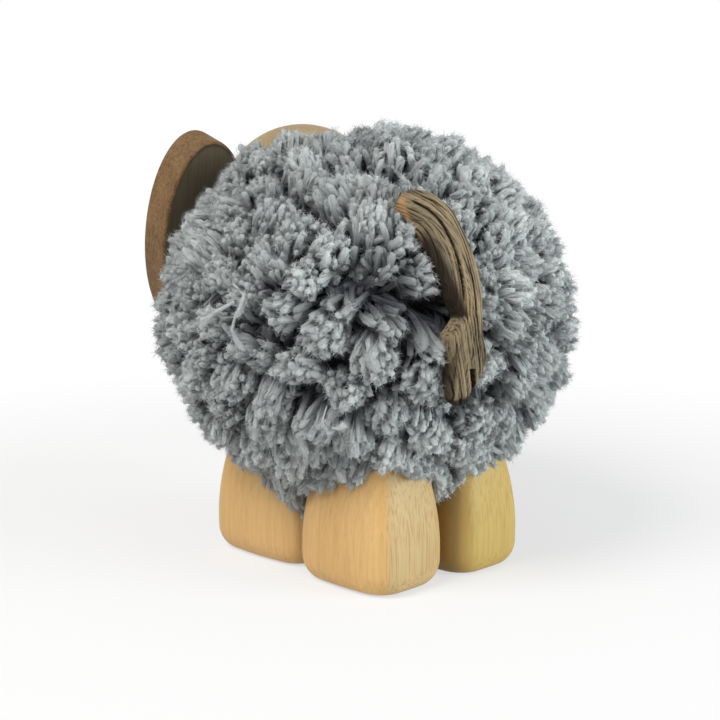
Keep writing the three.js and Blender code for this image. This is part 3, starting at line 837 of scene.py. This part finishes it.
yarn = {
    "strands": 8600,
    "underStrands": 1800,
    "underDepth": 2.5 * mm,
    "tufts": 260,
    "tuftStray": 0.9,
    "tuftDip": 170 * mm,  # times the squared distance from the tuft's middle, on a ball of radius 1
    "seed": 21,
    "radius": 0.88 * mm,
    "radiusRange": (0.72, 1.2),
    "length": 16 * mm,
    "variants": 12,
    "locks": 3,  # fibre locks on each strand, widths in shares of its radius
    "underLocks": 1,
    "lockWidth": 0.44,
    "twist": 1.8,
    "profile": ((0, 0.6), (0.5, 0.78), (0.78, 0.96), (0.94, 1.0), (0.985, 0.8), (1, 0.4)),  # height, width
    "lockProfile": ((0, 0.4), (0.6, 1.0), (0.93, 0.85), (1, 1)),
    "flow": 3.2 * mm,
    "tuftLean": 2.4 * mm,
    "stray": 2.2 * mm,
    "droop": 3 * mm,
    "mostLean": 9 * mm,
    "tuftPull": 0.13,
    "rootPull": 0.4,
    "bendAt": 0.5,  # shares of the length, up from the root and down from the tip
    "shoulderAt": 0.36,
    "aim": (0.6, 0.35, 0.22),  # how much the tip points its own way, straight out, and anywhere
    "tuftEdge": 0.016,  # squared distance from the tuft's middle to its edge, on a ball of radius 1
    "unevenness": 0.65 * mm,
    "lowest": -1.6 * mm,
    "highest": 1.4 * mm,
    "partingSpread": 1.5 * mm,
    "fibres": 95,
    "fibreRadius": 0.065 * mm,
    "fibreLength": (0.5, 1.8),  # millimetres
    "laySize": (1.1, 1.1, 16),  # the finish's millimetres round a strand and up it
    "layRange": 90,
    # how strands bend aside for wood: how far it is looked for, then what is too deep, left over and too far
    "woodSearch": 14 * mm,
    "tooDeep": 12 * mm,
    "leftOver": 1.6 * mm,
    "tooFar": 5.5 * mm,
    # painted shade on the strands at tuft edges, in thin places and under the others; the loose strands on
    # top take nearly the lit tip tone
    "tuftShade": 0.42,  # how much darker the strands are at a tuft's edge and where it stands thinner
    "thinShade": 1.2,
    "underShade": 0.7,
    "looseShade": 0.95,
    "tintMix": (0.42, 0.58),  # how much of a strand's brightness is its own, and how much its tuft's
    "wedges": 12,
    # where the yarn parts: height angle, angle round from straight behind, width and depth in millimetres
    "partings": [
        (62, 30, 8, 4), (22.5, 22.5, 4, 6), (15.5, 27, 5, 7.5), (14, 17.5, 5, 7.5), (7, 4, 5.5, 10),
        (2, 24, 3.5, 6.5), (2.5, 53, 3.5, 6.5), (-18.5, 39, 5, 6), (-6, 55, 3.5, 4), (-10, 32, 3.5, 4),
        (26, -34, 7, 4), (30, -105, 8, 4.5), (8, 112, 8, 2), (-19.5, -1, 4.5, 7), (84, 112, 6, 2.5),
    ],
    # where it stands fuller: both angles, width, how far
    "fuller": [
        (73, -66, 12, 2.8), (43, -63, 9, 0.8), (-42, -47, 11, 2), (-12, -57, 9, 2.6), (57, 106, 11, 3.4),
        (2, 107, 9, 2.4),
    ],
    "hollows": [(6.8, 5, 5.6), (14, 4, 3), (14, 19, 2.4)],  # bare places beside the tail: both angles, radius
    # where it stands thinner: both angles, width, share of the strands that are missing, and the strands left
    # there get painted shade
    "thin": [
        (15, 21, 10, 0.5), (6, 12, 7, 0.45), (3, 54, 5, 0.4), (-17, 38, 7, 0.3), (64, 0, 13, 0.25),
    ],
    # where it hangs down between two legs: both angles, width, how far
    "hanging": [(-65, 69, 8, 8), (-62, -27, 8, 5.5)],
    # where it has been brushed: height angle, side angle, width, then how far tips lean left and up
    "combed": [
        (-13, 15, 19, 0, -6), (10, -22, 15, -5, -1.5), (44, 47, 14, 2, 3.5), (2, 69, 12, 4, -1),
        (5, 40, 12, 3.5, -4), (20, 10, 8, -3, -2.5), (52, 0, 13, -3, 3), (-20, -40, 14, -3, -4),
        (-15, 60, 14, 3, -4),
    ],
    "looseLift": (-1, 0.8, 1, 0.6),  # how far a loose strand's four places stand off the ball, in millimetres
    # strands that came loose and lie on the rest: radius in millimetres, brightness, four places
    "loose": [
        (0.6, 0.5, [(7.5, 57.6), (4.6, 58.4), (0.8, 57.8), (-2.8, 53.8)]),
        (0.66, 0.75, [(14.9, 59.5), (15.6, 53.4), (10.2, 53.4), (6.0, 56.4)]),
        (0.75, 0.7, [(10.2, 58.6), (8.2, 61.8), (5.2, 65.8), (2.4, 67.6)]),
        (0.3, 0.8, [(-18.1, 33.3), (-19.4, 34.7), (-23.0, 35.0), (-25.9, 33.1)]),
        (0.5, 1.05, [(-25.2, 32.5), (-24.5, 31.4), (-23.4, 29.9), (-22.7, 28.8)]),
    ],
}


# an even spiral over a ball of radius 1
def spiralOverBall(count):
    step = np.arange(count) + 0.5
    up = 1 - 2 * step / count
    turn = math.pi * (1 + math.sqrt(5)) * step
    flat = np.sqrt(1 - up * up)
    return step, np.stack([flat * np.cos(turn), flat * np.sin(turn), up], 1)


# the middles of the tufts, where the solid has them
def tuftPlaces():
    step, places = spiralOverBall(yarn["tufts"])
    stray = np.sin(step[:, None] * np.array((12.99, 78.23, 37.72)))
    return unit(places + yarn["tuftStray"] * stray / math.sqrt(yarn["tufts"]))


# places for the tips, each moved a little
def spreadOverBall(count, rng):
    step, places = spiralOverBall(count)
    return unit(places + rng.normal(size=places.shape) / math.sqrt(count))


def alongSurface(vectors, outward):
    return vectors - outward * np.sum(vectors * outward, axis=1)[:, None]


# corners, triangles and a flat map of a shape that stands on Z from 0 to 1
def readShape(piece):
    points = corners(piece)
    faces = np.array([list(face.vertices) for face in piece.data.polygons])
    turn = (np.arctan2(points[:, 1], points[:, 0]) / (2 * math.pi))[faces]
    middle = np.hypot(points[:, 0], points[:, 1])[faces] < 1e-4
    turn = np.where(middle, np.roll(turn, 1, axis=1), turn)
    turn = (turn - turn[:, :1] + 0.5) % 1.0 - 0.5 + turn[:, :1] % 1.0
    flat = np.stack([(turn + 0.5) / 2, points[:, 2][faces]], 2)
    bpy.data.objects.remove(piece)
    return {"points": points, "faces": faces, "flat": flat}


# a round that stands on Z, cut across and narrowed at each height, open below
def modelRound(name, sides, profile, pointed):
    bpy.ops.mesh.primitive_cylinder_add(vertices=sides, radius=1, depth=1, location=(0, 0, 0.5))
    piece = nameLast(name)
    startEdit()
    for height, wide in profile[1:-1]:
        cutAcross(height)
    for height, wide in profile:
        pick(piece, "VERT", lambda corner: abs(corner.co.z - height) < 0.005)
        bpy.ops.transform.resize(value=(wide, wide, 1), center_override=(0, 0, height))
    pick(piece, "FACE", lambda face: face.normal.z < -0.99)
    bpy.ops.mesh.delete(type="ONLY_FACE")
    if pointed:
        pick(piece, "VERT", lambda corner: corner.co.z > 0.995)
        bpy.ops.mesh.merge(type="CENTER")
    else:
        pick(piece, "FACE", lambda face: face.normal.z > 0.99)
        bpy.ops.mesh.poke()
    selectAll()
    bpy.ops.mesh.quads_convert_to_tris()
    endEdit()
    return readShape(piece)


# a loose fibre, a flat sliver that stands on Z
def modelFibre():
    bpy.ops.mesh.primitive_circle_add(vertices=3, radius=1, fill_type="NGON", rotation=(math.pi / 2, 0, 0))
    bpy.context.object.location.z = 0.5
    piece = nameLast("fibre")
    piece.scale.z = 1 / 1.5
    applyPlace()
    return readShape(piece)


# one strand: a soft body that thickens towards its blunt end, with locks of fibre lying on it
def gatherStrand(body, lock, locks, rng):
    heights, widths = zip(*yarn["profile"])
    points = [body["points"] * np.array((0.9, 0.9, 0.99))]
    points[0][:, :2] *= rng.uniform(0.86, 1.12, len(points[0]))[:, None]
    faces = [body["faces"]]
    flats = [body["flat"] * np.array((0.5, 1))]
    shades = [np.full(len(points[0]), -0.03)]
    start = len(points[0])
    rise = lock["points"][:, 2]
    for number in range(locks):
        low, high = rng.uniform(0.45, 0.7), rng.uniform(0.92, 1.0)
        height = low + (high - low) * rise
        turn = 2 * math.pi * (number * 0.618 + rng.uniform(-0.06, 0.06)) + yarn["twist"] * height
        turn += rng.normal() * 0.5 * np.sin(rng.uniform(3, 6) * rise)
        reach = np.interp(height, heights, widths) * rng.uniform(0.62, 0.88)
        reach = reach + rng.uniform(0, 0.12) * rise ** 2
        wide = yarn["lockWidth"] * rng.uniform(0.7, 1.35)
        points.append(np.stack([
            reach * np.cos(turn) + wide * lock["points"][:, 0],
            reach * np.sin(turn) + wide * lock["points"][:, 1],
            height,
        ], 1))
        faces.append(lock["faces"] + start)
        column = 0.52 + 0.48 * (number + 0.2 + 0.6 * lock["flat"][..., 0]) / locks
        flats.append(np.stack([column, lock["flat"][..., 1]], 2))
        shades.append(np.full(len(rise), rng.normal() * 0.06))
        start += len(rise)
    points = np.concatenate(points)
    # a slight crimp
    for axis in range(2):
        points[:, axis] += rng.normal() * 0.38 * np.sin(rng.uniform(5, 11) * points[:, 2] + rng.uniform(0, 6))
    return {"points": points, "faces": np.concatenate(faces),
            "flat": np.concatenate(flats), "shade": np.concatenate(shades)}


# how near places are to a spot on the ball, 1 at its middle, and their way from it in its widths
def nearSpot(outward, spot, width):
    away = (outward - onBall(*spot)) * ballRadii / (width * mm)
    return np.exp(-np.sum(away ** 2, axis=1)), away


# how far the yarn sinks at its partings, and how far the tips stand apart there
def partAt(outward):
    sunk, apart = np.zeros(len(outward)), np.zeros(outward.shape)
    for *spot, width, depth in yarn["partings"]:
        share, away = nearSpot(outward, spot, width)
        sunk += depth * mm * share
        apart += yarn["partingSpread"] * away * share[:, None]
    return sunk, apart


# four control points for every strand: it leaves the inside of the ball, then bends out to its own tip
def layStrands(count, sink, rng):
    outward = spreadOverBall(count, rng)
    hubs = tuftPlaces()
    tuft = np.argmax(outward @ hubs.T, axis=1)
    offset = outward - hubs[tuft]

    # a slow swirl over the ball, so that neighbours lean the same way
    swirl = np.zeros((count, 3))
    for step in range(10):
        across = rng.normal(size=3) * 2.6
        swirl += across * np.cos(outward @ across + rng.uniform(0, 2 * math.pi))[:, None]
    swirl = np.cross(outward, swirl) + 0.35 * alongSurface(swirl, outward)
    lean = yarn["flow"] * swirl / np.sqrt(np.mean(np.sum(swirl ** 2, axis=1)))
    lean += yarn["tuftLean"] * rng.normal(size=(yarn["tufts"], 3))[tuft]
    lean += yarn["stray"] * rng.normal(size=(count, 3))
    lean[:, 2] -= yarn["droop"] * smoothStep((-outward[:, 2] - 0.2) / 0.5)
    rise = rng.normal(size=count) * yarn["unevenness"]
    rise += (rng.normal(size=yarn["tufts"]) * yarn["unevenness"] * 0.5)[tuft]
    rise = np.clip(rise, yarn["lowest"], yarn["highest"]) - sink
    rise -= yarn["tuftDip"] * np.sum(offset ** 2, axis=1)
    leftward = unit(np.cross(outward, (0, 0, 1)) * np.array((1, 1, 0)))
    for *spot, width, left, up in yarn["combed"]:
        share = nearSpot(outward, spot, width)[0][:, None]
        lean += share * mm * (left * leftward + up * np.cross(leftward, outward))
    for *spot, width, more in yarn["fuller"]:
        rise += more * mm * nearSpot(outward, spot, width)[0]
    sunk, apart = partAt(outward)
    rise -= sunk
    lean = alongSurface(lean, outward)
    size = np.linalg.norm(lean, axis=1)[:, None]
    lean *= np.minimum(1, yarn["mostLean"] / np.maximum(size, 1e-9))

    bare = np.zeros(count, bool)
    for *spot, width in yarn["hollows"]:
        bare |= np.linalg.norm((outward - onBall(*spot)) * ballRadii, axis=1) < width * mm
    # painted shade: strands darken towards a tuft's edge and where the yarn stands thin
    edge = np.minimum(1, np.sum(offset ** 2, axis=1) / yarn["tuftEdge"])
    for *spot, width, missing in yarn["thin"]:
        share = missing * nearSpot(outward, spot, width)[0]
        bare |= rng.random(count) < share
        edge += yarn["thinShade"] * share

    tip = (outward - yarn["tuftPull"] * offset) * ballRadii + alongSurface(apart, outward)
    tip /= np.linalg.norm(tip / ballRadii, axis=1)[:, None]
    tipOut = unit(tip / ballRadii ** 2)
    tip = tip + tipOut * rise[:, None]
    for *spot, width, drop in yarn["hanging"]:
        tip[:, 2] -= drop * mm * nearSpot(outward, spot, width)[0]

    radial = unit(outward / ballRadii)
    root = (outward - yarn["rootPull"] * offset) * ballRadii - radial * yarn["length"] - lean
    bend = root + radial * yarn["length"] * yarn["bendAt"]
    own, out, stray = yarn["aim"]
    aim = unit(own * unit(tip - bend) + out * tipOut + stray * rng.normal(size=(count, 3)))
    shoulder = tip - aim * yarn["length"] * yarn["shoulderAt"]
    controls = np.stack([root, bend, shoulder, tip], 1) + ballMiddle
    return controls[~bare], tuft[~bare], edge[~bare]


def bezier(controls, t):
    a, b, c, d = (controls[:, k, None, :] for k in range(4))
    t = t[None, :, None] if t.ndim == 1 else t[..., None]
    place = (1 - t) ** 3 * a + 3 * (1 - t) ** 2 * t * b + 3 * (1 - t) * t ** 2 * c + t ** 3 * d
    slope = 3 * (1 - t) ** 2 * (b - a) + 6 * (1 - t) * t * (c - b) + 3 * t ** 2 * (d - c)
    return place, unit(slope)


# strands that meet wood bend aside, and those that can't are left out
def clearOfWood(controls):
    trees = []
    for piece in woodPieces:
        isLeg = "_leg" in piece.name
        faces = [p.vertices for p in piece.data.polygons if not (isLeg and p.normal.z > 0.6)]
        tree = BVHTree.FromPolygons([v.co for v in piece.data.vertices], faces)
        trees.append((tree, leg["height"] if isLeg else 1.0))
    keep = np.ones(len(controls), bool)
    before = controls[:, 3].copy()
    room = 0.95 * yarn["radius"]
    checks = np.array((0.6, 0.75, 0.88, 1.0))
    for number in range(len(controls)):
        for attempt in range(6):
            line, slopes = bezier(controls[number:number + 1], checks)
            worst, push = 0.0, None
            for place in line[0]:
                for tree, top in trees:
                    if place[2] > top:
                        continue
                    near, normal, face, gap = tree.find_nearest(Vector(place), yarn["woodSearch"])
                    if near is None:
                        continue
                    depth = (Vector(place) - near).dot(normal)
                    if room - depth > worst and (depth < 0 or gap < room):
                        worst, push = room - depth, normal
            if push is None:
                break
            if worst > yarn["tooDeep"]:
                keep[number] = False
                break
            for point, much in ((3, 1), (2, 0.85), (1, 0.3)):
                controls[number, point] += np.array(push) * worst * much
        else:
            keep[number] = worst < yarn["leftOver"]
    return keep & (np.linalg.norm(controls[:, 3] - before, axis=1) < yarn["tooFar"])


# bends a shape that stands on Z onto every line
def bendAlong(controls, shape, thick, rng):
    points = shape["points"]
    line, slopes = bezier(controls, points[:, 2])
    guide = rng.normal(size=(len(controls), 1, 3))
    first = unit(guide - slopes * np.sum(guide * slopes, axis=2)[..., None])
    second = np.cross(slopes, first)
    wide = thick[:, None, None]
    return line + wide * (first * points[None, :, 0, None] + second * points[None, :, 1, None])


# copies of one shape: their band of the bake's map, their corners, and what the finish is told at each corner
def batchOf(shape, band, points, along, tint, lay):
    size = points.shape[:2]
    return {
        "shape": shape,
        "band": band,
        "points": points,
        "along": np.broadcast_to(along, size),
        "tint": np.broadcast_to(tint, size),
        "lay": np.broadcast_to(lay, points.shape),
    }


# every strand reads its own part of the finish's noise
def layOf(copies, rng, shape=None):
    start = rng.uniform(0, yarn["layRange"], (copies, 1, 3))
    return start if shape is None else shape["points"] * np.array(yarn["laySize"]) + start


# one mesh from many copies. Every copy has its own small cell of the bake's map, within its batch's band.
def joinCopies(name, batches):
    faces, flats, start = [], [], 0
    for batch in batches:
        copies, size = batch["points"].shape[:2]
        shape = batch["shape"]
        starts = start + size * np.arange(copies)
        faces.append((starts[:, None, None] + shape["faces"][None]).reshape(-1, 3))
        low, high = batch["band"]
        across = math.ceil(math.sqrt(copies / (high - low)))
        down = math.ceil(copies / across)
        cell = np.stack([np.arange(copies) % across, np.arange(copies) // across], 1)[:, None, None, :]
        flat = (cell + 0.1 + 0.8 * np.clip(shape["flat"], 0, 1)[None]) / np.array((across, down))
        flat[..., 1] = low + (high - low) * flat[..., 1]
        flats.append(flat.reshape(-1, 2))
        start += copies * size
    faces = np.concatenate(faces)
    points = np.concatenate([batch["points"].reshape(-1, 3) for batch in batches])
    mesh = bpy.data.meshes.new(name)
    mesh.vertices.add(len(points))
    mesh.vertices.foreach_set("co", points.ravel())
    mesh.loops.add(faces.size)
    mesh.loops.foreach_set("vertex_index", faces.ravel().astype(np.int32))
    mesh.polygons.add(len(faces))
    mesh.polygons.foreach_set("loop_start", np.arange(0, faces.size, 3, dtype=np.int32))
    mesh.polygons.foreach_set("use_smooth", np.ones(len(faces), bool))
    layer = mesh.uv_layers.new(name="OFBake")
    layer.data.foreach_set("uv", np.concatenate(flats).astype(np.float32).ravel())
    mesh.update(calc_edges=True)
    piece = bpy.data.objects.new(name, mesh)
    bpy.context.collection.objects.link(piece)
    for key in ("along", "tint"):
        addAttribute(piece, key, np.concatenate([batch[key].ravel() for batch in batches]))
    lay = np.concatenate([batch["lay"].reshape(-1, 3) for batch in batches])
    addAttribute(piece, "lay", lay, "FLOAT_VECTOR")
    return piece


def wedgeOf(controls):
    turned = np.arctan2(controls[:, 3, 1] - ballMiddle[1], controls[:, 3, 0] - ballMiddle[0])
    return ((turned / (2 * math.pi) + 0.5) * yarn["wedges"]).astype(int) % yarn["wedges"]


# a fuzz of fibres all round the strands, most of them near the tips
def layFibres(controls, thick, rng):
    owner = np.repeat(np.arange(len(controls)), yarn["fibres"])
    at = 1 - 0.6 * rng.random((len(owner), 1)) ** 1.3
    start, slope = bezier(controls[owner], at)
    start, slope = start[:, 0], slope[:, 0]
    aside = unit(alongSurface(rng.normal(size=start.shape), slope))
    wide = np.interp(at, *zip(*yarn["profile"])) * thick[owner, None]
    heading = unit(0.7 * slope + 0.8 * aside + 0.45 * rng.normal(size=start.shape))
    reach = heading * rng.uniform(*yarn["fibreLength"], len(owner))[:, None] * mm
    begin = start + 0.85 * wide * aside
    return owner, at, begin[:, None] + reach[:, None] * np.linspace(0, 1, 4)[:, None]


def makeYarnBall():
    rng = np.random.default_rng(yarn["seed"])
    body = modelRound("strand_body", 5, yarn["profile"], False)
    lock = modelRound("lock", 3, yarn["lockProfile"], True)
    fibre = modelFibre()
    strands = [gatherStrand(body, lock, yarn["locks"], rng) for number in range(yarn["variants"])]
    low = gatherStrand(body, lock, yarn["underLocks"], rng)

    controls, tuft, edge = layStrands(yarn["strands"], 0, rng)
    keep = clearOfWood(controls)
    controls, tuft = controls[keep], tuft[keep]
    # painted shade at the tuft edges, stronger in some tufts than in others
    lit = 1 - yarn["tuftShade"] * edge[keep] * rng.uniform(0.1, 1, yarn["tufts"])[tuft]
    count = len(controls)
    under = layStrands(yarn["underStrands"], yarn["underDepth"], rng)[0]
    under = under[clearOfWood(under)]
    print("yarn strands laid:", count, "and", len(under), "under them")
    thick = yarn["radius"] * rng.uniform(*yarn["radiusRange"], count)
    own, shared = yarn["tintMix"]
    tint = own * rng.random(count) + shared * rng.random(yarn["tufts"])[tuft]
    variant = rng.integers(0, yarn["variants"], count)
    wedge = wedgeOf(controls)
    underWedge = wedgeOf(under)

    owner, at, fibreLines = layFibres(controls, thick, rng)

    triangles, largest = 0, 0
    fibreBand, underBand = (0.0, 0.1), (0.1, 0.16)
    bands = np.linspace(underBand[1], 1.0, yarn["variants"] + 1)
    for number in range(yarn["wedges"]):
        batches = []
        for kind, shape in enumerate(strands):
            chosen = np.flatnonzero((wedge == number) & (variant == kind))
            points = bendAlong(controls[chosen], shape, thick[chosen], rng)
            along = shape["points"][:, 2] * lit[chosen, None]
            shade = tint[chosen, None] + shape["shade"]
            lay = layOf(len(chosen), rng, shape)
            batches.append(batchOf(shape, bands[kind:kind + 2], points, along, shade, lay))
        chosen = np.flatnonzero(underWedge == number)
        points = bendAlong(under[chosen], low, np.full(len(chosen), yarn["radius"]), rng)
        shade = rng.uniform(0.0, 0.5, (len(chosen), 1)) + low["shade"]
        lay = layOf(len(chosen), rng, low)
        # painted shade on the under strands
        along = yarn["underShade"] * low["points"][:, 2]
        batches.append(batchOf(low, underBand, points, along, shade, lay))
        chosen = np.flatnonzero(wedge[owner] == number)
        points = bendAlong(fibreLines[chosen], fibre, np.full(len(chosen), yarn["fibreRadius"]), rng)
        along = at[chosen] * lit[owner[chosen], None]
        lay = layOf(len(chosen), rng)
        batches.append(batchOf(fibre, fibreBand, points, along, tint[owner[chosen], None], lay))
        piece = joinCopies("yarn_wedge_" + str(number + 1), batches)
        handOver(piece, "yarn_pompom", yarnFinish)
        triangles += len(piece.data.polygons)
        largest = max(largest, len(piece.data.polygons))
    print("yarn triangles:", triangles, "most in one wedge:", largest)

    wide, bright, lines = zip(*yarn["loose"])
    lines = np.array([[onBall(*place) for place in line] for line in lines])
    lines = ballMiddle + lines * (ballRadii + np.array(yarn["looseLift"])[:, None] * mm)
    shape = strands[0]
    wide, bright = np.array(wide) * mm, np.array(bright)
    points = bendAlong(lines, shape, wide, rng)
    owner, at, fibreLines = layFibres(lines, wide, rng)
    fuzz = bendAlong(fibreLines, fibre, np.full(len(owner), yarn["fibreRadius"]), rng)
    shade = bright[:, None] + shape["shade"]
    along = yarn["looseShade"]
    piece = joinCopies("yarn_loose_strands", [
        batchOf(shape, (0.5, 1), points, along, shade, layOf(len(lines), rng, shape)),
        batchOf(fibre, (0, 0.5), fuzz, along, bright[owner, None], layOf(len(owner), rng)),
    ])
    handOver(piece, "yarn_pompom", yarnFinish)


# the matted inside of the ball, seen only between the strands, coloured with the near-black painted shade of
# the strands' roots
core = {"depth": 8.5 * mm, "lump": 0.5 * mm, "lumpTurns": 9, "tint": 0.3, "laySize": 40}


def modelYarnCore():
    rng = np.random.default_rng(yarn["seed"] + 1)
    bpy.ops.mesh.primitive_ico_sphere_add(subdivisions=5, radius=1)
    piece = nameLast("yarn_core")
    points = corners(piece)
    lumps = np.zeros(len(points))
    for step in range(9):
        lumps += np.sin(points @ (rng.normal(size=3) * core["lumpTurns"]) + rng.uniform(0, 6))
    sunk = core["depth"] + core["lump"] * lumps + partAt(points)[0]
    setCorners(piece, ballMiddle + points * (ballRadii - sunk[:, None]))
    # along 0 gives the core the painted shade of the strands' roots
    addAttribute(piece, "along", np.zeros(len(points)))
    addAttribute(piece, "tint", np.full(len(points), core["tint"]))
    addAttribute(piece, "lay", points * core["laySize"], "FLOAT_VECTOR")
    takeUp(piece)
    bpy.ops.object.shade_smooth()
    handOver(piece, "yarn_pompom", yarnFinish)


modelYarnCore()
makeYarnBall()
print("yarn ball made")


# Stage: white sweep, soft lamps, and the camera where the photograph was taken from

stage = {
    "floorColour": (0.82, 0.82, 0.82),
    "ambient": 0.35,
    "cameraPlace": (0.1380, 0.3377, 0.1078),
    "cameraAim": (0.00123, 0.01553, 0.0499),
    "lens": 70.95,
    "floorSize": 6,
    "floorDrop": 0.02 * mm,
    "lampAim": (0, 0.01, 0.05),
    "lamps": [
        # name, place, size, watts, colour
        ("key", (0.62, 0.30, 0.78), 0.55, 8.3, (1.0, 0.985, 0.96)),
        ("fill", (-0.58, 0.62, 0.15), 0.6, 8.3, (0.92, 0.985, 1.0)),
        ("top", (-0.05, -0.15, 0.95), 0.7, 0.2, (1, 1, 1)),
    ],
}


def seenDirectly(flow):
    path = flow.node("ShaderNodeLightPath", {}, {}, "Is Camera Ray")
    rays = path.socket.node.outputs
    glossy = Flow(flow.tree, rays["Is Glossy Ray"])
    through = Flow(flow.tree, rays["Is Transmission Ray"])
    return flow.maths("ADD", path + glossy, through, True)


def makeFloor():
    bpy.ops.mesh.primitive_plane_add(size=stage["floorSize"], location=(0, 0, -stage["floorDrop"]))
    floor = nameLast("floor")
    material, flow = startFinish("white_sweep")
    matt = {"Base Color": stage["floorColour"], "Roughness": 0.9, "Specular IOR Level": 0.0}
    fillShader(material, matt)
    glow = flow.node("ShaderNodeEmission", {}, {"Color": (1, 1, 1), "Strength": 1.0})
    share = seenDirectly(flow) * (0.6 + 0.4 * objectCoords(flow).length().between(0.09, 0.28))
    body = Flow(flow.tree, flow.tree.nodes["Principled BSDF"].outputs[0])
    mixed = flow.node("ShaderNodeMixShader", {}, {0: share, 1: body, 2: glow})
    flow.tree.links.new(mixed.socket, flow.tree.nodes["Material Output"].inputs["Surface"])
    floor.data.materials.append(material)


def makeWorld():
    world = bpy.data.worlds.new("studio")
    bpy.context.scene.world = world
    world.use_nodes = True
    flow = Flow(world.node_tree)
    ground = world.node_tree.nodes["Background"]
    ground.inputs["Color"].default_value = (1, 1, 1, 1)
    flow.give(ground.inputs["Strength"], stage["ambient"] + (1 - stage["ambient"]) * seenDirectly(flow))


# puts up a lamp or camera that looks at a place
def putUp(data, place, aim):
    stand = bpy.data.objects.new(data.name, data)
    stand.location = place
    stand.rotation_euler = (Vector(aim) - Vector(place)).to_track_quat("-Z", "Y").to_euler()
    bpy.context.collection.objects.link(stand)
    return stand


def makeLamps():
    for name, place, size, watts, colour in stage["lamps"]:
        lamp = bpy.data.lights.new(name, "AREA")
        lamp.shape = "DISK"
        lamp.size = size
        lamp.energy = watts
        lamp.color = colour
        putUp(lamp, place, stage["lampAim"])


def makeCamera():
    lens = bpy.data.cameras.new("camera")
    lens.lens = stage["lens"]
    lens.sensor_width = 36
    lens.clip_start = 0.01
    bpy.context.scene.camera = putUp(lens, stage["cameraPlace"], stage["cameraAim"])


makeFloor()
makeWorld()
makeLamps()
makeCamera()
bpy.context.scene.view_settings.view_transform = "Standard"
print("stage set")
